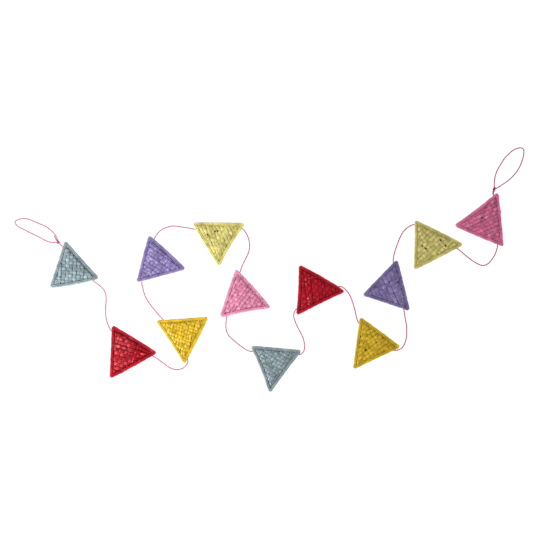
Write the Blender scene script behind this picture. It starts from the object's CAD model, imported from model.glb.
"""Raffia flag garland, dressed for a picture and for the visual model.

Twelve woven raffia flags with folded raffia bindings hang on one twisted cord with a knotted loop
at each end. The garland lies on a pale floor and is seen from straight above. Metres, +Z is up.
"""

import math

import bpy
import numpy as np
from mathutils import Euler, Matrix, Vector


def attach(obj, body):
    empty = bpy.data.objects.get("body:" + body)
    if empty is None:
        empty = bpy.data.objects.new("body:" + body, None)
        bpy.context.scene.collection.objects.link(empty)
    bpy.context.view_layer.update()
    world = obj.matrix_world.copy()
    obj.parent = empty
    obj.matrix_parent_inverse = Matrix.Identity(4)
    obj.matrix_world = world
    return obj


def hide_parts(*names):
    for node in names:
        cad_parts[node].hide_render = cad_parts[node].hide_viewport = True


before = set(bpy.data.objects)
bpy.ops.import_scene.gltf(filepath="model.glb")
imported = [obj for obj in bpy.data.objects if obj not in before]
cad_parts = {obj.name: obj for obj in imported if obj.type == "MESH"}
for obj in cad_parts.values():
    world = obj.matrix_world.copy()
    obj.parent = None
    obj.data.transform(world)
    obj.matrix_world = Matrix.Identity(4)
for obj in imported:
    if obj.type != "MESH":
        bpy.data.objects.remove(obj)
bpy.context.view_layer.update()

bl_info = {
    "name": "Raffia flag garland",
    "version": (1, 0, 0),
    "blender": (4, 5, 0),
    "location": "View3D > Sidebar > Garland",
    "description": "Weaves, binds and strings the flags of a raffia garland",
    "category": "Object",
}

MM = 0.001

# The tables measure from one zero on the surface. The middle of the laid-out flags lies here.
LAYOUT_CENTRE = (0.9, -1.2)

# One row for each flag, in millimetres and degrees: its outline and the way of the cord through
# it, as the CAD parts have them. A flag's name ends with its colour.
FLAG_COLUMNS = ("name", "mid", "turn", "edge", "depth", "side", "lean",
                "casing_in", "casing_out", "bow_cord", "bow_out", "bow_in")
FLAG_ROWS = (
    ("01_teal", (-426.5, 71.9), -48.0, 115.5, 98.1, -1, -1.7, 14.1, 14.1, -0.3, 2.0, -0.3),
    ("02_red", (-311.4, -102.2), -31.5, 119.8, 106.1, -1, -0.8, 12.4, 12.4, 0.6, 1.0, -0.2),
    ("03_yellow", (-235.0, -111.6), 123.3, 117.7, 104.1, -1, 0.8, 12.8, 15.6, -1.4, -0.4, 0.8),
    ("04_purple", (-294.9, 73.4), 75.5, 110.2, 100.5, -1, 1.8, 11.2, 14.4, 0.8, 1.2, 0.0),
    ("05_lime", (-127.9, 152.8), -0.5, 119.8, 98.7, -1, 1.8, 15.1, 13.3, 0.3, -2.4, 0.4),
    ("06_pink", (-107.9, -2.1), -108.4, 115.9, 103.3, 1, 0.8, 11.8, 15.3, 0.8, -2.2, 1.4),
    ("07_teal", (-0.4, -122.7), -5.1, 115.6, 103.0, -1, -5.9, 12.9, 10.5, 0.3, -0.9, -2.0),
    ("08_red", (98.4, -25.8), 26.2, 123.5, 100.4, 1, -5.7, 13.5, 16.6, -1.0, 1.6, -1.4),
    ("09_yellow", (228.9, -87.0), -36.5, 114.5, 105.4, -1, 0.7, 13.0, 14.6, 0.6, -0.5, -0.4),
    ("10_purple", (280.3, 15.3), 103.8, 120.4, 95.7, 1, 0.2, 13.3, 10.9, 0.3, 0.3, -0.4),
    ("11_lime", (358.8, 132.3), -26.5, 123.7, 102.4, -1, -13.5, 11.0, 15.7, 0.8, 0.4, -1.0),
    ("12_magenta", (494.3, 159.7), 95.7, 124.2, 106.9, 1, -3.7, 13.8, 12.1, 0.3, -1.2, 0.8),
)

# How each flag is woven: the ways of its two sets of strips in degrees and their spacings in
# millimetres, the share of strips with undyed streaks, how light the flag is against its colour,
# how deep its weave is, how far the first set stands over the second, and how unlike its
# crossings are.
WEAVE_COLUMNS = ("way_a", "pitch_a", "way_b", "pitch_b", "undyed", "shade", "relief", "rib",
                 "uneven")
WEAVE_ROWS = (
    (87.0, 8.3, -5.0, 6.9, 0.25, 0.99, 1.00, 0.35, 1.00),
    (-17.0, 8.0, 71.0, 7.0, 0.45, 0.98, 1.00, 0.50, 1.50),
    (-20.0, 7.3, 77.0, 6.3, 0.25, 1.13, 0.75, -0.20, 0.60),
    (-34.0, 7.7, 53.0, 7.2, 0.45, 1.13, 1.00, 0.20, 1.00),
    (-69.0, 7.2, 20.0, 8.6, 0.35, 1.13, 0.70, 0.50, 0.60),
    (54.0, 7.9, -29.0, 7.9, 0.30, 0.98, 0.85, 0.45, 0.70),
    (-32.0, 7.2, 58.0, 7.6, 0.25, 0.97, 0.80, 0.20, 0.90),
    (-83.0, 7.4, 7.0, 7.0, 0.08, 1.06, 0.75, 0.50, 1.00),
    (-62.0, 8.7, 38.0, 8.0, 0.05, 0.88, 0.60, -0.10, 0.50),
    (-66.0, 9.0, 24.0, 8.8, 0.15, 0.82, 0.70, 0.35, 0.70),
    (42.0, 8.6, -41.0, 8.9, 0.80, 0.85, 0.65, 0.15, 0.70),
    (25.0, 7.7, -58.0, 8.6, 0.30, 1.00, 0.55, 0.50, 0.50),
)
FLAGS = [dict(zip(FLAG_COLUMNS + WEAVE_COLUMNS, row + weave), colour=row[0].split("_")[1])
         for row, weave in zip(FLAG_ROWS, WEAVE_ROWS)]

# Places where the strips of a face stand apart and a dark hole shows, in millimetres.
HOLES = {
    "05_lime": ((-151.6, 126.6), (-135.1, 133.6), (-129.0, 134.7)),
    "11_lime": ((361.0, 113.4), (372.0, 101.3), (320.7, 101.3), (329.0, 95.1)),
    "09_yellow": ((194.9, -127.5),),
    "10_purple": ((267.5, 22.5),),
    "12_magenta": ((451.2, 162.9),),
}

# Where a binding bulges out or draws in, in millimetres: the place, how wide and how far.
LUMPS = {
    "01_teal": (((-497.0, 13.3), 4.0, 0.6),),
    "02_red": (((-322.1, -160.5), 6.0, -1.0), ((-340.8, -175.9), 5.0, 0.8),),
    "03_yellow": (((-181.3, -125.3), 5.0, -1.0),),
    "04_purple": (((-306.7, 26.5), 3.5, 1.6), ((-299.0, 22.1), 2.2, -1.6),),
    "06_pink": (((-125.2, -46.1), 3.5, 1.4), ((-90.0, 50.7), 3.0, 1.0),
                ((-80.1, 45.2), 2.5, -1.0),),
    "07_teal": (((-57.4, -120.9), 3.0, 1.0), ((51.9, -126.4), 3.5, 1.0),),
    "08_red": (((144.3, 5.6), 4.0, -0.8),),
    "10_purple": (((280.7, -40.6), 3.0, 0.8),),
    "12_magenta": (((492.6, 177.2), 3.5, 1.2), ((498.5, 115.6), 3.0, -0.8),),
}

# Pale spots where a strip kept less dye, and a worn part where the tops of many did: the place
# and the reach in millimetres, and how pale.
PALE_SPOTS = {
    "01_teal": (((-462.9, 91.4), 3.6, 0.55),),
    "02_red": (((-343.0, -118.0), 26.0, 0.13), ((-345.0, -152.0), 24.0, 0.10)),
    "08_red": (((78.0, -30.0), 20.0, 0.03), ((78.0, -62.0), 16.0, 0.05)),
    "09_yellow": (((177.3, -153.9), 3.6, 0.55),),
    "10_purple": (((262.0, -18.6), 3.6, 0.55), ((276.3, -12.0), 3.6, 0.55)),
    "11_lime": (((322.5, 139.8), 3.6, 0.55), ((319.2, 87.0), 3.6, 0.55),
                ((359.9, 95.8), 3.6, 0.55)),
    "12_magenta": (((421.5, 146.4), 3.6, 0.55), ((446.8, 164.0), 3.6, 0.55)),
}
SPOT_REACH = 10.0                # a pale part that reaches further is worn on the strips' tops only

# The cord's free stretches between one flag and the next, in millimetres.
FREE_RUNS = (
    ((-388, 13), (-379, 3), (-375, -11), (-376, -38), (-375, -57), (-371, -71)),
    ((-262, -147), (-247, -158), (-233, -167.5), (-220, -171), (-208, -168.5), (-200, -162.5),
     (-195.5, -155.5)),
    ((-259, -50.5), (-270, -37.5), (-281, -23), (-289, -9), (-293, 4)),
    ((-262, 128.5), (-252.5, 137), (-241, 142), (-228, 145), (-209, 143), (-191, 140.3)),
    ((-68, 131), (-62, 119), (-59.3, 104), (-61, 89), (-67, 75), (-75, 59)),
    ((-111, -66), (-111, -80), (-106.5, -94), (-96, -105), (-76, -121), (-64, -128.5)),
    ((57, -134), (61, -127), (61.3, -115), (58.5, -101.5), (52, -88), (44.5, -73), (39, -59),
     (38, -48.5)),
    ((145.5, 10.5), (154, 3), (161, -7), (167.5, -23), (172.5, -40), (176, -56)),
    ((267, -127.5), (275.5, -123), (281.5, -114), (285.5, -101), (286.3, -88), (285.5, -72),
     (282.5, -55)),
    ((257.5, 78), (261, 91), (266.5, 107), (272.5, 121.5), (280, 134), (289.5, 142.5)),
    ((407, 88), (420, 77), (432, 68), (443.5, 61.5), (455, 58.3), (466, 63), (475, 73.5),
     (482, 86)),
)

# The two end loops, in millimetres: where the knot lies, the loop's route from the knot and back
# to it, and the cut end, which lies closer to its neighbour here than in the CAD parts.
LOOP_COLUMNS = ("name", "knot", "turn", "stretch", "route", "tail")
LOOP_ROWS = (
    ("left", (-479.8, 109.2), -46.0, 1.0,
     ((-487, 126), (-497, 136), (-508, 144.5), (-519, 149), (-534, 155.5), (-550, 161),
      (-564, 160.5), (-573.5, 156.5), (-575, 152), (-572, 147), (-565, 142), (-546, 132.5),
      (-523, 121), (-500, 110)),
     ((-484.4, 114.6), (-486.8, 119.2), (-489.2, 123.8))),
    ("right", (478.8, 226.2), -94.0, 1.3,
     ((479.5, 246), (484, 264), (493, 280.5), (503, 295.5), (519.5, 311), (530.5, 316),
      (537.5, 317), (542.8, 314.5), (544.2, 308.5), (542, 295), (533, 272), (516.3, 251),
      (497, 236.3), (487.2, 229.8)),
     ((476.2, 221.4), (475.9, 217.8), (475.2, 214.6))),
)
LOOPS = [dict(zip(LOOP_COLUMNS, row)) for row in LOOP_ROWS]

# The cross-section of a binding, in millimetres from the flag's edge and above the surface: from
# the inner lip over the row of stitches and round the fold, back below, then along its inside.
BINDING_SECTION = (
    (6.4, 3.7), (6.3, 4.6), (5.75, 5.3), (5.1, 5.0), (4.5, 4.1), (3.9, 4.5), (3.1, 4.85),
    (2.4, 4.85), (1.6, 4.6), (0.9, 4.05), (0.35, 3.1), (0.1, 2.1), (0.35, 1.1), (1.1, 0.55),
    (2.4, 0.35), (4.2, 0.35), (6.1, 0.4), (6.4, 0.8), (5.9, 1.1), (2.4, 1.15), (1.5, 1.9),
    (2.6, 3.4), (5.8, 3.5),
)
BINDING_LIP = 4                  # the section's first points, which belong to the inner lip
RIDGE = 6                        # the point on top of the outer roll
GROOVE_ABOVE = 4                 # the points where the stitches run
GROOVE_BELOW = 14
STITCH_SIDES = 5                 # sides and stations of a stitch
WORN_EDGE = 1.0                  # millimetres from the edge that are worn paler
OUTER_ROLL = 3.5                 # how far in the outer roll reaches, up to the groove
BINDING_WIDTH = 7.0

# The heights of a face's middle at distances from the flag's edge, in millimetres.
FRONT_RISE = ((0.0, 6.2, 7.2, 9.0, 12.0, 18.0, 32.0), (2.4, 2.5, 2.9, 4.3, 5.3, 5.8, 6.2))
BACK_RISE = ((0.0, 7.0, 9.0, 12.0, 40.0), (1.95, 1.88, 1.78, 1.78, 1.78))

# A strip's section: places across it from one side to the other, how high it is there, and the
# way round it, as shares of its width and its thickness.
STRIP_ACROSS = np.array((0.5, 0.40, 0.18, -0.06, -0.30, -0.5, 0.0))
STRIP_HEIGHT = np.array((0.12, 0.66, 0.93, 1.0, 0.80, 0.12, -0.35))
STRIP_AROUND = np.array((0.0, 0.12, 0.36, 0.6, 0.84, 1.0, 1.5, 2.0))

# How the strips are laid, in millimetres.
SET_REACH = 80.0                 # strips are laid this far from the flag's middle
STRIP_REACH = 84.0               # half a strip's length before it is cut to the flag
STRIP_STEPS = 6.0                # stations from one crossing to the next
STRIP_DISORDER = 0.11            # how far strips lie from even spacing, as a share of it
FEWEST_STATIONS = 4              # a shorter strip is left out
FIRST_STRIP = 100                # makes the strips' numbers positive in seeds and the table
WIDTH_SPREAD = (-0.08, 0.07)     # how unlike the strips' widths are, as a share of their spacing
PATTERN_STEP = 37.0              # each strip has its own part of the fibre pattern
STRIP_INSET = 2.0                # a strip ends this far inside the flag's edge
FACE_INSET = 1.6                 # no side of a strip comes closer to the edge
CROSSINGS = (800, 220)           # size of the table that makes crossings unlike each other
TINT_SPREAD = (0.25, 0.75)
PUFF_TINT = 0.55                 # how much lighter a crossing that stands out is
FOLD_DEPTH = 0.3

# A face that is woven flatter stands fuller next to its binding, in millimetres from the edge.
EASED_AT = 7.0
EASED_REACH = 1.8
EASED_HEIGHT = 2.4

# Where effects set in, in millimetres from the flag's edge, or above the surface for a binding's
# lip: the start, the length until the full effect, and the least effect.
SHADOW_RAMP = (5.5, 4.0, 0.3)
LIFT_RAMP = (5.0, 3.0, 0.35)
QUILT_RAMP = (8.0, 8.0, 0.0)
LIP_RAMP = (4.0, 1.1, 0.0)

# How the lower face differs from the upper one.
BACK_WIDER = 0.09                # how much wider its strips are, as a share of their spacing
BACK_RELIEF = 0.6
BACK_PUFF = 0.4

# Holes, in millimetres: how far the strips stand off sideways and along, and how far and how
# much they are darker round a hole, above and on the inside of the lower face.
HOLE_RADIUS = 1.5
HOLE_LENGTH = 2.6
HOLE_POINT = 6.0                 # how sharply a hole narrows along the strip
HOLE_REACH = 5.0
HOLE_PUSH = 7.0                  # a strip is pushed aside no further
HOLE_DARK = (2.8, 0.5)
HOLE_DARK_BELOW = (4.5, 0.9)

# Irregular lines, each a sum of waves with a length and a height: in metres along a strip, and in
# shares of the way round a binding.
LINE_WAVES = ((0.031, 0.00022), (0.073, 0.0003))
WIDTH_WAVES = ((0.022, 0.025),)
FOLD_WAVES = ((0.009, 0.6), (0.017, 0.4))
TINT_WAVES = ((0.05, 0.12), (0.021, 0.15), (0.0098, 0.28))
UNDYED_WAVES = ((0.047, 0.8), (0.019, 0.6))
QUILT_WAVES = ((0.034, 0.0002), (0.021, 0.00014))
QUILT_CROSS_WAVES = ((0.029, 0.0002), (0.018, 0.00014))
PLY_WAVES = ((0.043, 0.35), (0.071, 0.3))
ROUND_WAVES = ((1.0 / 9, 0.10), (1.0 / 17, 0.14), (1.0 / 31, 0.13), (1.0 / 47, 0.08))
BINDING_TINT_WAVES = ((1 / 5, 0.15), (1 / 13, 0.15))
BARE_WAVES = ((1 / 7, 0.5), (1 / 19, 0.4))

CORNER_RADIUS = 5.0 * MM
CORNER_STEPS = 8                 # points round a corner and along an edge of an outline
EDGE_STEPS = 52
TIGHT_RADIUS = 1.0 * MM          # rounding left where an inner outline turns a corner
KNOT_SIZE = 1.2 * MM
KNOT_SWING = 1.5 * MM            # how far a knot's strand goes up and down
KNOT_STRAND = 1.88 * MM
KNOT_HEIGHT = KNOT_SWING + KNOT_STRAND / 2.0 + 0.05 * MM
KNOT_LAY = 0.7                   # a knot's strand is twisted tighter: its lay as a share
CASING_HEIGHT = 2.5 * MM         # how high the cord lies inside a flag
CORD_RISE = 12.0 * MM            # length over which it rises to that height
CORD_SIDES = 12
CURVE_STEPS = 24                 # places worked out between two knots of a curve
CORD_STEP = 0.8 * MM             # spacing of the stations along the cord, its loops and cut ends
LOOP_STEP = 0.7 * MM
TAIL_STEP = 0.6 * MM
PLY_GROOVE = 0.14                # depth of the groove between the plies, as a share of the radius
CORD_THIN = 0.92                 # the cord's thickness at the left end, as a share of the right's
THIN_UNTIL = 0.2                 # metres right of the middle where it has the full thickness

# The stage, in metres.
WHITE = (1.0, 1.0, 1.0, 1.0)
FLOOR_SIZE = 12.0
FLOOR_DROP = 0.0002
FLOOR_GLOW = 1.02                # the photograph's ground is white and shows no shadow
KEY_LIGHT = ((-1.40, -0.85, 0.90), 0.5)        # place and size
SOFT_LIGHT = ((1.3, 0.9, 1.3), 1.6)
SOFT_SHARE = 0.32                # power of the soft light as a share of the key light's
CAMERA_MIDDLE = (-0.0152, 0.0496)
SENSOR_WIDTH = 36.0              # millimetres
CAMERA_REACH = 50.0


def length_property(name, description, default):
    return bpy.props.FloatProperty(name=name, description=description, default=default,
                                   min=0.0, subtype="DISTANCE", unit="LENGTH", precision=4)


def colour_property(name, description, default):
    return bpy.props.FloatVectorProperty(name=name, description=description, default=default,
                                         size=3, min=0.0, max=1.0, subtype="COLOR")


class GarlandSizes(bpy.types.PropertyGroup):
    """The sizes of strips, stitches and cord."""
    strip_share: bpy.props.FloatProperty(
        name="Strip width", description="Width of a strip as a share of its spacing",
        default=1.04, min=0.3, max=1.2)
    strip_thickness: length_property("Strip thickness", "Height of a strip's rounded top", 0.00065)
    relief: length_property("Relief", "How far a strip goes up and down in the weave", 0.00075)
    stitch_length: length_property("Stitch length", "Length of one stitch in a binding", 0.0028)
    stitch_pitch: length_property("Stitch spacing", "From one stitch to the next", 0.0062)
    stitch_thickness: length_property("Stitch thickness", "Thickness of the sewing strand", 0.0006)
    cord_diameter: length_property("Cord diameter", "Thickness over the cord's two plies", 0.0027)
    cord_lay: length_property("Cord lay", "Length of one full turn of the two plies", 0.0100)


class GarlandColours(bpy.types.PropertyGroup):
    """The dye colours of the raffia and the cord."""
    teal: colour_property("Teal", "Grey teal strips", (0.185, 0.247, 0.242))
    red: colour_property("Red", "Red strips", (0.247, 0.004, 0.011))
    yellow: colour_property("Yellow", "Warm yellow strips", (0.480, 0.326, 0.021))
    purple: colour_property("Purple", "Dusty purple strips", (0.165, 0.128, 0.288))
    lime: colour_property("Lime", "Yellow green strips", (0.510, 0.438, 0.149))
    pink: colour_property("Pink", "Pink strips", (0.562, 0.208, 0.311))
    magenta: colour_property("Magenta", "Deep pink strips", (0.436, 0.108, 0.198))
    undyed: colour_property("Undyed", "Natural straw colour", (0.640, 0.560, 0.380))
    cord: colour_property("Cord", "Twisted pink cord", (0.400, 0.012, 0.095))
    cord_pale: colour_property("Pale cord", "Where the cord has faded", (0.500, 0.120, 0.255))
    floor: colour_property("Floor", "Plain pale floor", (0.05, 0.05, 0.05))


class GarlandStage(bpy.types.PropertyGroup):
    """The camera and the lights."""
    camera_height: length_property("Camera height", "Height of the camera over the floor", 6.0)
    field: length_property("Field", "Width that the picture shows on the floor", 1.188)
    key: bpy.props.FloatProperty(name="Key light", description="Power of the main light",
                                 default=46.0, min=0.0, unit="POWER")
    fill: bpy.props.FloatProperty(name="Fill light", description="Strength of the light all round",
                                  default=0.40, min=0.0)


def link(item):
    bpy.context.scene.collection.objects.link(item)
    return item


def spot(pair, height=0.0):
    """A place of the tables, in metres from the middle of the flags."""
    return Vector(((pair[0] - LAYOUT_CENTRE[0]) * MM, (pair[1] - LAYOUT_CENTRE[1]) * MM, height))


def flat_vector(vector):
    return np.array(vector.xy)


def flat_spot(pair):
    return flat_vector(spot(pair))


def wander(way, seed, waves):
    """A smooth irregular line: sines of the given lengths and heights, shifted by the seed."""
    shift = np.random.default_rng(seed)
    line = np.zeros(np.shape(way))
    for length, height in waves:
        line = line + height * np.sin(2.0 * np.pi * (way / length + shift.random()))
    return line


def ramp(places, start, length, low):
    return np.clip((places - start) / length, low, 1.0)


def lengths_along(points, closed=False):
    """The way from the first point to each of them, and back to the first if closed."""
    if closed:
        points = np.concatenate((points, points[:1]))
    steps = np.linalg.norm(np.diff(points, axis=0), axis=1)
    return np.concatenate(((0.0,), np.cumsum(steps)))


class Build:
    """Points, faces, pattern coordinates and strip values of one mesh, collected tube by tube."""

    def __init__(self):
        self.points = []
        self.faces = []
        self.pattern = []
        self.values = []
        self.count = 0

    def tube(self, rings, along, around, values, cyclic=False, flip=False):
        """Skin rings of points. along and around are the pattern's coordinates in millimetres.
        values are what the strip material reads: tint, how undyed, shade, and height."""
        stations, sides = rings.shape[:2]
        base = self.count
        last = stations if cyclic else stations - 1
        for s in range(last):
            row = base + s * sides
            following = base + ((s + 1) % stations) * sides
            for k in range(sides):
                nxt = (k + 1) % sides
                face = (row + k, row + nxt, following + nxt, following + k)
                corner = ((along[s], around[k]), (along[s], around[k + 1]),
                          (along[s + 1], around[k + 1]), (along[s + 1], around[k]))
                self.faces.append(face[::-1] if flip else face)
                self.pattern.extend(corner[::-1] if flip else corner)
        if not cyclic:
            first = tuple(range(base, base + sides))
            final = tuple(base + (stations - 1) * sides + k for k in range(sides))
            for cap, place, turned in ((first, along[0], not flip), (final, along[-1], flip)):
                self.faces.append(cap[::-1] if turned else cap)
                self.pattern.extend([(place, 0.0)] * sides)
        self.points.append(rings.reshape(-1, 3))
        spread = [np.broadcast_to(part, rings.shape[:2]).ravel() for part in values]
        self.values.append(np.stack(spread, axis=1))
        self.count += stations * sides

    def finish(self, name, finish):
        data = bpy.data.meshes.new(name)
        data.from_pydata(np.concatenate(self.points).tolist(), [], self.faces)
        layer = data.uv_layers.new(name="strip map")
        layer.data.foreach_set("uv", np.array(self.pattern, dtype=np.float32).ravel())
        strip = data.attributes.new("strip values", "FLOAT_COLOR", "POINT")
        strip.data.foreach_set("color", np.concatenate(self.values).astype(np.float32).ravel())
        data.shade_smooth()
        data.materials.append(finish)
        return link(bpy.data.objects.new(name, data))


# Materials

def feed(node, inputs):
    """Give a node's inputs values, or wire them to the sockets that are given."""
    for name, value in inputs.items():
        if isinstance(value, bpy.types.NodeSocket):
            node.id_data.links.new(value, node.inputs[name])
        else:
            node.inputs[name].default_value = value


def add_node(tree, kind, inputs, **settings):
    node = tree.nodes.new("ShaderNode" + kind)
    for name, value in settings.items():
        setattr(node, name, value)
    feed(node, inputs)
    return node.outputs


def strip_group():
    """The look of a dyed strip: streaks along its fibres, uneven dye, undyed stretches, and paler
    tops than sides. It reads the strip map and the strip values of the mesh."""
    found = bpy.data.node_groups.get("raffia strip")
    if found:
        return found
    tree = bpy.data.node_groups.new("raffia strip", "ShaderNodeTree")
    for way, kind, names in (("INPUT", "Color", ("Dye", "Second Dye", "Undyed")),
                             ("INPUT", "Float", ("Streaks", "Tops", "Gloss", "Shine")),
                             ("OUTPUT", "Color", ("Colour",)),
                             ("OUTPUT", "Float", ("Roughness", "Coat", "Height"))):
        for name in names:
            tree.interface.new_socket(name=name, in_out=way, socket_type="NodeSocket" + kind)

    def total(operation, *values, clamp=False):
        return add_node(tree, "Math", dict(enumerate(values)), operation=operation,
                        use_clamp=clamp)[0]

    given = tree.nodes.new("NodeGroupInput").outputs
    values = add_node(tree, "Attribute", {}, attribute_name="strip values")
    tint, undyed, shade = add_node(tree, "SeparateColor", {0: values["Color"]})
    lift = values["Alpha"]
    strip_map = add_node(tree, "UVMap", {}, uv_map="strip map")[0]
    stretched = add_node(tree, "Mapping", {"Vector": strip_map, "Scale": (0.07, 2.2, 1.0)})[0]
    fibre = add_node(tree, "TexNoise", {"Vector": stretched, "Scale": 1.0, "Detail": 4.0,
                                        "Roughness": 0.62})["Fac"]
    place = add_node(tree, "TexCoord", {})["Object"]
    blotch = add_node(tree, "TexNoise", {"Vector": place, "Scale": 45.0, "Detail": 3.0})["Fac"]
    broad = add_node(tree, "Mapping", {"Vector": strip_map, "Scale": (0.09, 0.11, 1.0)})[0]
    tone = add_node(tree, "TexNoise", {"Vector": broad, "Scale": 1.0, "Detail": 1.0})["Fac"]
    streak = total("MULTIPLY", total("SUBTRACT", fibre, 0.5), given["Streaks"])
    top = total("MULTIPLY", total("SUBTRACT", lift, 0.5), given["Tops"])
    light = total("MULTIPLY_ADD", tint, 0.6, 0.70)
    light = total("ADD", light, total("MULTIPLY", streak, 2.4))
    light = total("ADD", light, top)
    light = total("ADD", light, total("MULTIPLY_ADD", blotch, 0.5, -0.25))
    light = total("MULTIPLY", total("MAXIMUM", light, 0.05), shade)
    spread = total("MULTIPLY_ADD", tone, 3.0, -1.1, clamp=True)
    dyes = add_node(tree, "Mix", {0: spread, 6: given["Dye"], 7: given["Second Dye"]},
                    data_type="RGBA")[2]
    pale = total("MULTIPLY", undyed, total("MULTIPLY_ADD", fibre, 0.5, 0.75))
    colour = add_node(tree, "Mix", {0: pale, 6: dyes, 7: given["Undyed"]}, data_type="RGBA")[2]
    matt = total("SUBTRACT", given["Gloss"], 0.15)
    polish = total("MULTIPLY", total("POWER", lift, 1.5), given["Shine"])
    patchy = total("MULTIPLY_ADD", blotch, 2.4, -0.4, clamp=True)
    feed(tree.nodes.new("NodeGroupOutput"), {
        "Colour": add_node(tree, "VectorMath", {0: colour, "Scale": light}, operation="SCALE")[0],
        "Roughness": total("MULTIPLY_ADD", fibre, 0.3, matt),
        "Coat": total("MULTIPLY", polish, patchy),
        "Height": fibre})
    return tree


def strip_material(name, dye, second, undyed, streaks, tops, gloss, shine, sheen, depth):
    """A dyed fibre finish with its own dyes, and the grain's depth in metres."""
    found = bpy.data.materials.get(name)
    if found:
        return found
    made = bpy.data.materials.new(name)
    made.use_nodes = True
    tree = made.node_tree
    group = tree.nodes.new("ShaderNodeGroup")
    group.node_tree = strip_group()
    feed(group, {"Dye": (*dye, 1.0), "Second Dye": (*second, 1.0), "Undyed": (*undyed, 1.0),
                 "Streaks": streaks, "Tops": tops, "Gloss": gloss, "Shine": shine})
    grain = group.outputs
    bump = add_node(tree, "Bump", {"Strength": 0.7, "Distance": depth, "Height": grain["Height"]})
    feed(tree.nodes["Principled BSDF"], {
        "Base Color": grain["Colour"], "Roughness": grain["Roughness"],
        "Coat Weight": grain["Coat"], "Coat Roughness": 0.22, "Normal": bump["Normal"],
        "Metallic": 0.0, "Specular IOR Level": 0.04, "Sheen Weight": sheen,
        "Sheen Roughness": 0.5})
    return made


# The look of each colour. The factors for red, green and blue say how its second dye differs from
# the first, how a binding differs from the faces, and how its pale spots and streaks differ from
# the natural straw. The last two numbers say how much lighter the tops of the strips are than
# their sides, and how strongly they shine.
LOOK_COLUMNS = ("second", "bound", "pale", "tops", "shine")
LOOKS = {
    "teal": ((0.95, 0.86, 1.12), (1.06, 1.03, 1.00), (0.72, 0.70, 1.25), 0.45, 0.60),
    "red": ((0.72, 0.70, 0.75), (1.30, 2.20, 1.70), (1.00, 0.22, 0.34), 1.10, 0.25),
    "yellow": ((0.90, 0.82, 0.70), (1.06, 1.08, 1.10), (1.15, 1.00, 0.65), 0.35, 0.45),
    "purple": ((1.15, 1.18, 1.05), (1.00, 1.00, 1.00), (0.62, 0.66, 1.10), 0.45, 0.50),
    "lime": ((0.86, 0.95, 0.80), (1.05, 1.05, 1.05), (0.82, 0.60, 0.55), 0.30, 0.30),
    "pink": ((0.95, 0.80, 0.88), (1.15, 1.25, 1.22), (1.00, 0.85, 1.00), 0.35, 0.40),
    "magenta": ((0.90, 0.78, 0.85), (1.12, 1.30, 1.25), (0.86, 0.50, 0.74), 0.35, 0.25),
}


def tinted(dye, factors):
    return [part * factor for part, factor in zip(dye, factors)]


def raffia(colour, bound):
    colours = bpy.context.scene.garland_colours
    look = dict(zip(LOOK_COLUMNS, LOOKS[colour]))
    dye = tinted(getattr(colours, colour), look["bound"] if bound else (1.0, 1.0, 1.0))
    return strip_material("raffia " + colour + (" binding" if bound else ""), dye,
                          tinted(dye, look["second"]), tinted(colours.undyed, look["pale"]),
                          streaks=0.28 if bound else 0.45, tops=look["tops"], gloss=0.42,
                          shine=look["shine"] * (0.3 if bound else 1.0), sheen=0.0,
                          depth=0.00035)


def yarn():
    colours = bpy.context.scene.garland_colours
    return strip_material("twisted cord", colours.cord, tinted(colours.cord, (0.8, 0.8, 0.8)),
                          colours.cord_pale, streaks=0.25, tops=0.35, gloss=0.60, shine=0.0,
                          sheen=0.2, depth=0.0001)


# Outlines

def corners(flag):
    """The flag's sharp corners in its own frame, counter-clockwise, each with the bow of the edge
    that follows it."""
    half = flag["edge"] * MM / 2.0
    start = Vector((-half, 0.0))
    end = Vector((half, 0.0))
    tip = Vector((flag["lean"] * MM, flag["side"] * flag["depth"] * MM))
    cord_bow, out_bow, in_bow = (flag[key] * MM for key in ("bow_cord", "bow_out", "bow_in"))
    if flag["side"] < 0:
        return [(start, in_bow), (tip, out_bow), (end, cord_bow)]
    return [(start, cord_bow), (end, out_bow), (tip, in_bow)]


def to_world(flag, point):
    turned = Vector((point[0], point[1], 0.0))
    turned.rotate(Euler((0.0, 0.0, math.radians(flag["turn"]))))
    return spot(flag["mid"]) + turned


def outline(flag, inset):
    """The flag's rounded outline in the row frame, drawn in by inset, always with the same number
    of points. Returns the points and the way into the flag at each of them."""
    sharp = corners(flag)
    count = len(sharp)
    ways = [(sharp[(i + 1) % count][0] - sharp[i][0]).normalized() for i in range(count)]
    inward = [Vector((-way.y, way.x)) for way in ways]
    radius = max(CORNER_RADIUS - inset, TIGHT_RADIUS)
    arcs = []
    for i in range(count):
        half_turn = (math.pi - ways[i - 1].angle(ways[i])) / 2.0
        bisector = (ways[i] - ways[i - 1]).normalized()
        centre = sharp[i][0] + bisector * ((inset + radius) / math.sin(half_turn))
        first = -inward[i - 1]
        sweep = first.angle(-inward[i])
        arc = []
        for step in range(CORNER_STEPS + 1):
            turn = sweep * step / CORNER_STEPS
            spoke = Vector((first.x * math.cos(turn) - first.y * math.sin(turn),
                            first.x * math.sin(turn) + first.y * math.cos(turn)))
            arc.append((centre + spoke * radius, -spoke))
        arcs.append(arc)
    points = []
    for i in range(count):
        points.extend(arcs[i])
        begin = arcs[i][-1][0]
        finish = arcs[(i + 1) % count][0][0]
        for step in range(1, EDGE_STEPS):
            share = step / EDGE_STEPS
            bow = sharp[i][1] * 4.0 * share * (1.0 - share)
            points.append((begin.lerp(finish, share) - inward[i] * bow, inward[i]))
    turn = math.radians(flag["turn"])
    rotate = np.array(((math.cos(turn), math.sin(turn)), (-math.sin(turn), math.cos(turn))))
    places = np.array([tuple(point) for point, _ in points]) @ rotate
    inner = np.array([tuple(way) for _, way in points]) @ rotate
    return places + flat_spot(flag["mid"]), inner


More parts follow.
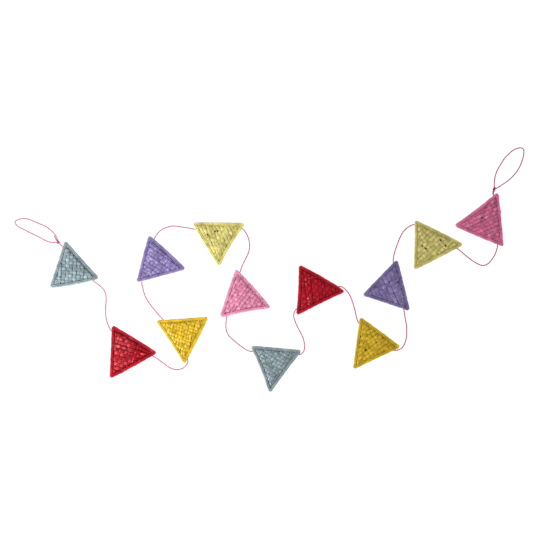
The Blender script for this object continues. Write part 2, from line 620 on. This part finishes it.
def edge_distances(flag, places):
    """How far places lie inside each of the flag's three edges, and the ways into the flag."""
    sharp = corners(flag)
    ends = [flat_vector(to_world(flag, corner)) for corner, _ in sharp]
    distances = []
    inward = []
    for i, (_, bow) in enumerate(sharp):
        along = ends[(i + 1) % 3] - ends[i]
        span = np.linalg.norm(along)
        way = along / span
        inner = np.array((-way[1], way[0]))
        offset = places - ends[i]
        share = np.clip(offset @ way / span, 0.0, 1.0)
        distances.append(offset @ inner + 4.0 * bow * share * (1.0 - share))
        inward.append(inner)
    return np.array(distances), inward


# Woven faces

def hole_shade(flag, places, back):
    """How much darker the strips are round the holes: on the lower face only the inside."""
    reach, depth = HOLE_DARK_BELOW if back else HOLE_DARK
    shade = np.ones(places.shape[:2])
    for pair in HOLES.get(flag["name"], ()):
        away = np.linalg.norm(places - flat_spot(pair), axis=-1) / (reach * MM)
        shade = shade * (1.0 - depth * np.exp(-away ** 4))
    return np.where(STRIP_HEIGHT[None, :] < 0.3, shade, 1.0) if back else shade


def open_holes(flag, places, centre, way, normal):
    """Squeeze a strip to one side where the face has a hole."""
    for pair in HOLES.get(flag["name"], ()):
        hole = flat_spot(pair)
        side = np.sign((centre - hole) @ normal)[:, None]
        along = np.abs((places - hole) @ way) / MM
        edge = HOLE_RADIUS * MM - HOLE_POINT * MM * (along / HOLE_LENGTH) ** 3
        short = np.maximum(edge - side * ((places - hole) @ normal), 0.0)
        short = np.where(along < HOLE_REACH, np.minimum(short, HOLE_PUSH * MM), 0.0)
        places = places + (side * short)[:, :, None] * normal
    return places


def keep_inside(flag, places):
    """Draw strips in where they would stick out of the binding."""
    for _ in range(2):
        distances, inward = edge_distances(flag, places)
        for distance, inner in zip(distances, inward):
            places = places + np.maximum(FACE_INSET * MM - distance, 0.0)[:, :, None] * inner
    return places


class Face:
    """One cloth face of a flag: two sets of strips that pass over and under each other."""

    def __init__(self, flag, number, back):
        self.flag = flag
        self.number = number
        self.back = back
        self.seed = 100 * number + (50 if back else 0)
        tips = (flat_vector(to_world(flag, corner)) for corner, _ in corners(flag))
        self.middle = sum(tips, np.zeros(2)) / 3.0
        self.unlike = np.random.default_rng(self.seed + 9).uniform(-1.0, 1.0, CROSSINGS)
        self.sets = [self.strip_set("a", 1), self.strip_set("b", 2)]

    def strip_set(self, letter, extra):
        """The way that the strips run, the way across them, their spacing in millimetres, and the
        numbers and places of the strips, with a little disorder."""
        turn = math.radians(self.flag["way_" + letter])
        pitch = self.flag["pitch_" + letter]
        way = np.array((math.cos(turn), math.sin(turn)))
        reach = int(SET_REACH / pitch) + 2
        numbers = np.arange(-reach, reach + 1)
        dice = np.random.default_rng(self.seed + extra)
        disorder = dice.uniform(-STRIP_DISORDER, STRIP_DISORDER, len(numbers))
        return way, np.array((-way[1], way[0])), pitch, numbers, (numbers + disorder) * pitch * MM

    def weave(self, build):
        for which in (0, 1):
            numbers, offsets = self.sets[which][3:]
            for index, offset in zip(numbers, offsets):
                self.add_strip(build, which, int(index), offset)

    def crossing(self, which, index, places):
        """The number of the crossing at each place, and how high the strip lies there: 1 over the
        other set, and -1 under it."""
        _, normal, _, numbers, offsets = self.sets[1 - which]
        phase = np.interp((places - self.middle) @ normal, offsets, numbers)
        over = np.cos(np.pi * (phase + index)) * (1.0 if which == 0 else -1.0)
        return phase, over * (-1.0 if self.back else 1.0)

    def add_strip(self, build, which, index, offset):
        """One strip, from one side of the flag to another."""
        flag, back = self.flag, self.back
        sizes = bpy.context.scene.garland_sizes
        way, normal, pitch = self.sets[which][:3]
        _, other_normal, other_pitch = self.sets[1 - which][:3]
        step = other_pitch * MM / abs(way @ other_normal) / STRIP_STEPS
        steps = np.arange(-STRIP_REACH * MM, STRIP_REACH * MM, step)
        seed = self.seed * 1000 + which * 500 + index + FIRST_STRIP
        dice = np.random.default_rng(seed)
        line = offset + wander(steps, seed, LINE_WAVES)
        centre = self.middle + steps[:, None] * way + line[:, None] * normal
        inside = edge_distances(flag, centre)[0].min(axis=0) > STRIP_INSET * MM
        if inside.sum() < FEWEST_STATIONS:
            return
        inside = np.flatnonzero(inside)
        chosen = slice(inside[0], inside[-1] + 1)
        centre = centre[chosen]
        along = steps[chosen]
        _, over = self.crossing(which, index, centre)
        share = sizes.strip_share + (BACK_WIDER if back else 0.0)
        width = pitch * MM * (share + dice.uniform(*WIDTH_SPREAD))
        width = width * (0.97 + 0.03 * over) * (1.0 + wander(along, seed + 7, WIDTH_WAVES))
        sideways = (STRIP_ACROSS[None, :] * width[:, None])[:, :, None]
        places = centre[:, None, :] + sideways * normal
        if not back:
            places = open_holes(flag, places, centre, way, normal)
        phase, over = self.crossing(which, index, places)
        over = over * (1.5 - 0.5 * over ** 2)         # flatter over and under the other strips
        if not back:
            over = over + flag["rib"] * (1.0 if which == 0 else -1.0)
        cell = np.floor(phase + 0.5).astype(int) + CROSSINGS[0] // 2
        puff = self.unlike[cell, index + FIRST_STRIP] * flag["uneven"]
        puff = puff * np.clip(over, 0.0, 1.0) * (BACK_PUFF if back else 1.0)
        places = keep_inside(flag, places)
        depth = edge_distances(flag, places)[0].min(axis=0) / MM
        heights = self.heights(sizes, places, depth, along, seed, over, puff)
        rings = np.concatenate((places, heights[:, :, None]), axis=2)
        undyed = self.undyed(dice, places, along, seed, over, puff)
        tint = dice.uniform(*TINT_SPREAD) + wander(along, seed + 5, TINT_WAVES)
        tint = np.clip(np.clip(tint, 0.0, 1.0)[:, None] + PUFF_TINT * puff, 0.0, 1.0)
        shade = flag["shade"] * hole_shade(flag, places, back)
        raised = np.clip((over + 1.0) / 2.0, 0.0, 1.0) * np.where(STRIP_HEIGHT > 0.5, 1.0, 0.6)
        raised = raised * ramp(depth, *SHADOW_RAMP)
        around = pitch * STRIP_AROUND + PATTERN_STEP * index
        build.tube(rings, along / MM, around, (tint, undyed, shade, raised), flip=back)

    def heights(self, sizes, places, depth, along, seed, over, puff):
        """How high a strip lies: the face's rise, the weave, and the strip's own round section."""
        flag = self.flag
        relief = sizes.relief * (BACK_RELIEF if self.back else flag["relief"])
        folds = [wander(along, seed + 20 + k, FOLD_WAVES) for k in range(len(STRIP_ACROSS))]
        fold = 1.0 + FOLD_DEPTH * np.stack(folds, axis=1)
        section = STRIP_HEIGHT * np.where(STRIP_HEIGHT > 0.3, fold + 0.5 * puff, 1.0)
        lift = relief * over + sizes.strip_thickness * section
        lift = lift * ramp(depth, *LIFT_RAMP)
        if self.back:
            return np.interp(depth, *BACK_RISE) * MM - lift
        level = np.interp(depth, *FRONT_RISE) * MM
        eased = np.exp(-((depth - EASED_AT) / EASED_REACH) ** 2)
        level = level + EASED_HEIGHT * MM * (1.0 - flag["relief"]) * eased
        quilt = (wander(places[:, :, 0], self.number, QUILT_WAVES)
                 + wander(places[:, :, 1], self.number + 40, QUILT_CROSS_WAVES))
        return level + lift + quilt * ramp(depth, *QUILT_RAMP)

    def undyed(self, dice, places, along, seed, over, puff):
        """Where a strip kept the colour of the straw: along one fibre, and at the pale spots."""
        undyed = np.zeros(places.shape[:2])
        if dice.random() < self.flag["undyed"]:
            fibre = dice.integers(1, 5)
            undyed[:, fibre] = np.clip(wander(along, seed + 3, UNDYED_WAVES), 0.0, 0.9)
        for pair, reach, weight in PALE_SPOTS.get(self.flag["name"], ()):
            away = np.linalg.norm(places - flat_spot(pair), axis=2) / (reach * MM)
            pale = weight * np.exp(-away ** 4)
            if reach > SPOT_REACH:
                pale = pale * np.clip(0.2 + over + 0.8 * puff, 0.0, 1.8)
            undyed = np.maximum(undyed, pale)
        return undyed


def add_faces(build, flag, number):
    for back in (False, True):
        Face(flag, number, back).weave(build)


# Bindings

def binding_rings(flag, number):
    """The binding's cross-section at every station round the flag, and the stations as shares of
    the way round."""
    rings = []
    for k, (inset, height) in enumerate(BINDING_SECTION):
        places, inner = outline(flag, inset * MM)
        stations = np.arange(len(places)) / len(places)
        edge = wander(stations, number, ROUND_WAVES) * MM
        lip = wander(stations, number + 30, ROUND_WAVES) * MM * 1.2
        share = min(inset / BINDING_WIDTH, 1.0)
        places = places + inner * (lip * share - edge * (1.0 - share))[:, None]
        for place, size, reach in LUMPS.get(flag["name"], ()):
            away = np.linalg.norm(places - flat_spot(place), axis=1) / (size * MM)
            places = places - inner * (reach * MM * (1.0 - share) * np.exp(-away ** 2))[:, None]
        rolling = wander(stations, number + 60 + (1 if k < BINDING_LIP else 0), ROUND_WAVES) * MM
        level = np.full(len(places), height * MM) + rolling * (1.0 if height > 3.9 else 0.0)
        rings.append(np.column_stack((places, level)))
    return np.stack(rings, axis=1), stations


def add_binding(build, flag, number):
    rings, stations = binding_rings(flag, number)
    section = np.array(BINDING_SECTION)
    worn = (section[:, 0] < WORN_EDGE).astype(float)
    tint = np.clip(0.55 + wander(stations, number + 5, BINDING_TINT_WAVES), 0, 1)
    bare = np.clip(wander(stations, number + 9, BARE_WAVES) - 0.45, 0.0, 0.6)
    lip = ramp(section[:, 1], *LIP_RAMP)
    values = (tint[:, None] + 0.4 * worn, bare[:, None] * flag["undyed"], flag["shade"],
              np.where(section[:, 0] < OUTER_ROLL, 0.85 + 0.15 * worn, lip))
    along = lengths_along(rings[:, RIDGE], closed=True) / MM
    build.tube(rings, along, lengths_along(section, closed=True), values, cyclic=True)
    add_stitches(build, flag, number, rings, along)


def add_stitches(build, flag, number, rings, along):
    """Running stitches in the groove of the binding, above and below."""
    sizes = bpy.context.scene.garland_sizes
    total = along[-1] * MM
    count = int(total / sizes.stitch_pitch)
    radius = sizes.stitch_thickness / 2.0
    turns = np.arange(STITCH_SIDES) * 2.0 * np.pi / STITCH_SIDES
    shares = np.linspace(0.0, sizes.stitch_length / MM, STITCH_SIDES)
    bulge = np.sin(np.linspace(0.15, 0.85, STITCH_SIDES) * np.pi)
    up = np.array((0.0, 0.0, 1.0))
    dice = np.random.default_rng(900 + number)
    closed = np.concatenate((rings, rings[:1]))
    for column, lift, drop in ((GROOVE_ABOVE, 0.3 * radius, 0.0),
                               (GROOVE_BELOW, -0.1 * radius, -0.02 * MM)):
        for stitch in range(count):
            start = (stitch + dice.uniform(-0.08, 0.08)) * total / count / MM
            line = np.stack([np.interp((start + shares) % along[-1], along, closed[:, column, axis])
                             for axis in range(3)], axis=1)
            line[:, 2] += lift * bulge + drop
            way = line[-1] - line[0]
            way[2] = 0.0
            way = way / np.linalg.norm(way)
            side = np.array((-way[1], way[0], 0.0))
            line = line + side * dice.uniform(-0.2, 0.2, 1) * MM
            ring = (np.cos(turns)[:, None] * side + np.sin(turns)[:, None] * up) * radius
            shape = line[:, None, :] + ring[None, :, :] * bulge[:, None, None]
            build.tube(shape, shares, np.arange(STITCH_SIDES + 1.0), (0.9, 0.0, flag["shade"], 0.9))


# Cord

def smooth_line(knots, step):
    """Places step apart on a smooth curve through knots. The first and last of them only set the
    directions at the ends."""
    dense = []
    for before, start, end, after in zip(knots, knots[1:], knots[2:], knots[3:]):
        span = np.linalg.norm(end - start)
        lead = (end - before) / np.linalg.norm(end - before) * span
        trail = (after - start) / np.linalg.norm(after - start) * span
        for t in np.arange(CURVE_STEPS) / CURVE_STEPS:
            dense.append(start * (2 * t**3 - 3 * t**2 + 1) + lead * (t**3 - 2 * t**2 + t)
                         + end * (3 * t**2 - 2 * t**3) + trail * (t**3 - t**2))
    dense.append(knots[-2])
    dense = np.array(dense)
    ways = lengths_along(dense)
    count = max(2, round(ways[-1] / step))
    targets = np.linspace(0.0, ways[-1], count + 1)
    return np.stack([np.interp(targets, ways, column) for column in dense.T], axis=1), targets


def casing_line(flag):
    """Where the cord crosses the flag's two sides."""
    half = flag["edge"] / 2.0
    lean, depth, side = flag["lean"], flag["depth"], flag["side"]
    deep_in, deep_out = flag["casing_in"], flag["casing_out"]
    start = to_world(flag, (MM * (-half + deep_in * (half + lean) / depth), MM * side * deep_in))
    end = to_world(flag, (MM * (half - deep_out * (half - lean) / depth), MM * side * deep_out))
    return flat_vector(start), flat_vector(end)


def twisted_tube(build, line, knot=False):
    """Skin a line as two plies twisted round each other. A knot's line is closed."""
    sizes = bpy.context.scene.garland_sizes
    diameter = KNOT_STRAND if knot else sizes.cord_diameter
    lay = sizes.cord_lay * (KNOT_LAY if knot else 1.0)
    ways = lengths_along(line, closed=knot)
    if knot:
        tangent = np.roll(line, -1, axis=0) - np.roll(line, 1, axis=0)
        lay = ways[-1] / max(1, round(ways[-1] / lay))
        turn = 2.0 * np.pi * ways[:-1] / lay
    else:
        tangent = np.gradient(line, axis=0)
        turn = 2.0 * np.pi * ways / lay + wander(ways, 5, PLY_WAVES)
    tangent = tangent / np.linalg.norm(tangent, axis=1, keepdims=True)
    side = np.cross((0.0, 0.0, 1.0), tangent)
    side = side / np.linalg.norm(side, axis=1, keepdims=True)
    up = np.cross(tangent, side)
    angles = np.arange(CORD_SIDES) * 2.0 * np.pi / CORD_SIDES
    relative = angles[None, :] - turn[:, None]
    fullness = CORD_THIN + (1.0 - CORD_THIN) * np.clip(line[:, :1] / THIN_UNTIL, 0.0, 1.0)
    groove = 1.0 - PLY_GROOVE + PLY_GROOVE * np.cos(2.0 * relative)
    radius = diameter / 2.0 * fullness * groove
    spokes = (np.cos(angles)[None, :, None] * side[:, None, :]
              + np.sin(angles)[None, :, None] * up[:, None, :])
    rings = line[:, None, :] + radius[:, :, None] * spokes
    washed_out = np.clip(0.45 - 1.1 * line[:, :1], 0.0, 0.8)
    values = (0.55 + 0.26 * np.tanh(2.0 * np.cos(relative)),
              washed_out * (0.8 + 0.2 * np.cos(relative)), 1.0,
              0.5 + 0.5 * np.cos(2.0 * relative))
    around = np.arange(CORD_SIDES + 1) * np.pi * diameter / MM / CORD_SIDES
    build.tube(rings, ways / MM, around, values, cyclic=knot)


def settle(line, ways, spans):
    """Set heights: on the surface, raised inside the spans and on the way to them."""
    rest = bpy.context.scene.garland_sizes.cord_diameter / 2.0
    lift = np.zeros(len(line))
    for begin, end, height in spans:
        distance = np.maximum(np.maximum(begin - ways, ways - end), 0.0)
        share = 0.5 + 0.5 * np.cos(np.pi * np.minimum(distance / CORD_RISE, 1.0))
        lift = np.maximum(lift, (height - rest) * share)
    return np.column_stack((line, rest + lift))


def main_line():
    """The cord's line from the left knot through all flags to the right knot, and its length."""
    begin = flat_spot(LOOPS[0]["knot"])
    away = begin - casing_line(FLAGS[0])[0]
    knots = [begin - away / np.linalg.norm(away) * 1.5 * MM]
    marks = []
    for number, flag in enumerate(FLAGS):
        start, end = casing_line(flag)
        marks.append((start, end))
        knots.extend([start, start * 0.66 + end * 0.34, start * 0.34 + end * 0.66, end])
        if number < len(FREE_RUNS):
            knots.extend(flat_spot(pair) for pair in FREE_RUNS[number])
    last = flat_spot(LOOPS[1]["knot"])
    knots.append(last)
    knots = [knots[0] * 2.0 - knots[1], *knots, last * 2.0 - knots[-2]]
    line, ways = smooth_line(knots, CORD_STEP)
    spans = [(0.0, 0.0, KNOT_HEIGHT), (ways[-1], ways[-1], KNOT_HEIGHT)]
    for start, end in marks:
        nearest = [np.argmin(np.linalg.norm(line - mark, axis=1)) for mark in (start, end)]
        spans.append((*ways[nearest], CASING_HEIGHT))
    return settle(line, ways, spans), ways[-1]


def loop_line(loop):
    """The loop's line from the knot and back to it, and its length."""
    route = [flat_spot(pair) for pair in loop["route"]]
    centre = flat_spot(loop["knot"])
    knots = [centre * 2.0 - route[0], centre, *route, centre, centre * 2.0 - route[-1]]
    line, ways = smooth_line(knots, LOOP_STEP)
    spans = [(0.0, 0.0, KNOT_HEIGHT), (ways[-1], ways[-1], KNOT_HEIGHT)]
    return settle(line, ways, spans), ways[-1]


def tail_line(loop):
    """The cut end's line from the knot outwards."""
    route = [flat_spot(pair) for pair in loop["tail"]]
    centre = flat_spot(loop["knot"])
    knots = [centre * 2.0 - route[0], centre, *route, route[-1] * 2.0 - route[-2]]
    line, ways = smooth_line(knots, TAIL_STEP)
    return settle(line, ways, [(0.0, 0.0, KNOT_HEIGHT)])


def knot_line(loop):
    """One closed strand that passes over and under itself three times."""
    turn = math.radians(loop["turn"])
    t = np.linspace(0.0, 2.0 * np.pi, 72, endpoint=False)
    x = KNOT_SIZE * loop["stretch"] * (np.sin(t) + 2.0 * np.sin(2.0 * t))
    y = KNOT_SIZE / loop["stretch"] * (np.cos(t) - 2.0 * np.cos(2.0 * t))
    centre = spot(loop["knot"], KNOT_HEIGHT)
    return np.column_stack((centre.x + x * math.cos(turn) - y * math.sin(turn),
                            centre.y + x * math.sin(turn) + y * math.cos(turn),
                            centre.z - KNOT_SWING * np.sin(3.0 * t)))


# Pieces

def place(piece, slot, *nodes):
    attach(piece, "root")
    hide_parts(*nodes)


def dress_flags(new, old, add, bound):
    """Put a padded piece in the place of the CAD part that every flag has."""
    for number, flag in enumerate(FLAGS, start=1):
        build = Build()
        add(build, flag, number)
        piece = build.finish(new + flag["name"], raffia(flag["colour"], bound))
        place(piece, "raffia_" + flag["colour"], old + flag["name"])


def declare_cord(piece, nodes):
    place(piece, "twisted_cord", *nodes)


# Steps

class GARLAND_OT_stage(bpy.types.Operator):
    """Lay the floor, set the lights and put the camera straight above"""
    bl_idname = "garland.stage"
    bl_label = "Floor, lights and camera"

    def execute(self, context):
        stage = context.scene.garland_stage
        colours = context.scene.garland_colours
        bpy.ops.mesh.primitive_plane_add(size=FLOOR_SIZE, location=(0.0, 0.0, -FLOOR_DROP))
        floor = context.object
        floor.name = "floor"
        finish = bpy.data.materials.new("pale floor")
        finish.use_nodes = True
        feed(finish.node_tree.nodes["Principled BSDF"], {
            "Base Color": (*colours.floor, 1.0), "Roughness": 0.9, "Specular IOR Level": 0.1,
            "Emission Color": WHITE, "Emission Strength": FLOOR_GLOW})
        floor.data.materials.append(finish)
        world = bpy.data.worlds.new("soft studio")
        world.use_nodes = True
        feed(world.node_tree.nodes["Background"], {"Color": WHITE, "Strength": stage.fill})
        context.scene.world = world
        self.lamp("key light", *KEY_LIGHT, stage.key)
        self.lamp("soft light", *SOFT_LIGHT, stage.key * SOFT_SHARE)
        data = bpy.data.cameras.new("camera")
        data.sensor_width = SENSOR_WIDTH
        data.lens = data.sensor_width * stage.camera_height / stage.field
        data.clip_end = CAMERA_REACH
        camera = link(bpy.data.objects.new("camera", data))
        camera.location = (*CAMERA_MIDDLE, stage.camera_height)
        context.scene.camera = camera
        context.scene.view_settings.view_transform = "Standard"
        return {"FINISHED"}

    def lamp(self, name, place, size, power):
        data = bpy.data.lights.new(name, "AREA")
        data.size = size
        data.energy = power
        lamp = link(bpy.data.objects.new(name, data))
        lamp.location = place
        lamp.rotation_euler = (-Vector(place)).to_track_quat("-Z", "Y").to_euler()


class GARLAND_OT_knots(bpy.types.Operator):
    """Tie the small knot at the foot of each end loop, with its cut end"""
    bl_idname = "garland.knots"
    bl_label = "Knots"

    def execute(self, context):
        for loop in LOOPS:
            build = Build()
            twisted_tube(build, knot_line(loop), knot=True)
            twisted_tube(build, tail_line(loop))
            knot = build.finish("tied_knot_" + loop["name"], yarn())
            place(knot, "twisted_cord", "knot_" + loop["name"], "cord_tail_" + loop["name"])
        return {"FINISHED"}


class GARLAND_OT_cord(bpy.types.Operator):
    """Lay the long twisted cord through all flags"""
    bl_idname = "garland.cord"
    bl_label = "Cord"

    def execute(self, context):
        line, length = main_line()
        build = Build()
        twisted_tube(build, line)
        cord = build.finish("long_cord", yarn())
        nodes = ["cord_left_end", "cord_right_end"]
        nodes += [f"cord_{number:02d}_{number + 1:02d}" for number in range(1, len(FLAGS))]
        declare_cord(cord, nodes)
        return {"FINISHED"}


class GARLAND_OT_loops(bpy.types.Operator):
    """Lay the two end loops"""
    bl_idname = "garland.loops"
    bl_label = "End loops"

    def execute(self, context):
        for loop in LOOPS:
            line, length = loop_line(loop)
            build = Build()
            twisted_tube(build, line)
            piece = build.finish("hanging_loop_" + loop["name"], yarn())
            declare_cord(piece, ["loop_" + loop["name"]])
        return {"FINISHED"}


class GARLAND_OT_faces(bpy.types.Operator):
    """Weave the front and back face of every flag"""
    bl_idname = "garland.faces"
    bl_label = "Woven faces"

    def execute(self, context):
        dress_flags("woven_", "panel_", add_faces, False)
        return {"FINISHED"}


class GARLAND_OT_bindings(bpy.types.Operator):
    """Fold and sew the binding round every flag"""
    bl_idname = "garland.bindings"
    bl_label = "Bindings"

    def execute(self, context):
        dress_flags("bound_edge_", "binding_", add_binding, True)
        return {"FINISHED"}


class GARLAND_PT_panel(bpy.types.Panel):
    """The garland's steps, sizes and colours"""
    bl_label = "Raffia flag garland"
    bl_idname = "GARLAND_PT_panel"
    bl_space_type = "VIEW_3D"
    bl_region_type = "UI"
    bl_category = "Garland"

    def draw(self, context):
        column = self.layout.column(align=True)
        for step in STEPS:
            column.operator(step.bl_idname)
        for group in GROUPS:
            box = self.layout.box()
            for name in GROUPS[group].__annotations__:
                box.prop(getattr(context.scene, group), name)


STEPS = (GARLAND_OT_stage, GARLAND_OT_cord, GARLAND_OT_knots, GARLAND_OT_loops, GARLAND_OT_faces,
         GARLAND_OT_bindings)
GROUPS = {"garland_sizes": GarlandSizes, "garland_colours": GarlandColours,
          "garland_stage": GarlandStage}
CLASSES = (*GROUPS.values(), *STEPS, GARLAND_PT_panel)


def register():
    for item in CLASSES:
        bpy.utils.register_class(item)
    for name, group in GROUPS.items():
        setattr(bpy.types.Scene, name, bpy.props.PointerProperty(type=group))


def unregister():
    for name in GROUPS:
        delattr(bpy.types.Scene, name)
    for item in reversed(CLASSES):
        bpy.utils.unregister_class(item)


def main():
    register()
    bpy.ops.garland.stage()
    bpy.ops.garland.cord()
    bpy.ops.garland.knots()
    bpy.ops.garland.loops()
    bpy.ops.garland.faces()
    bpy.ops.garland.bindings()


if __name__ == "__main__":
    main()
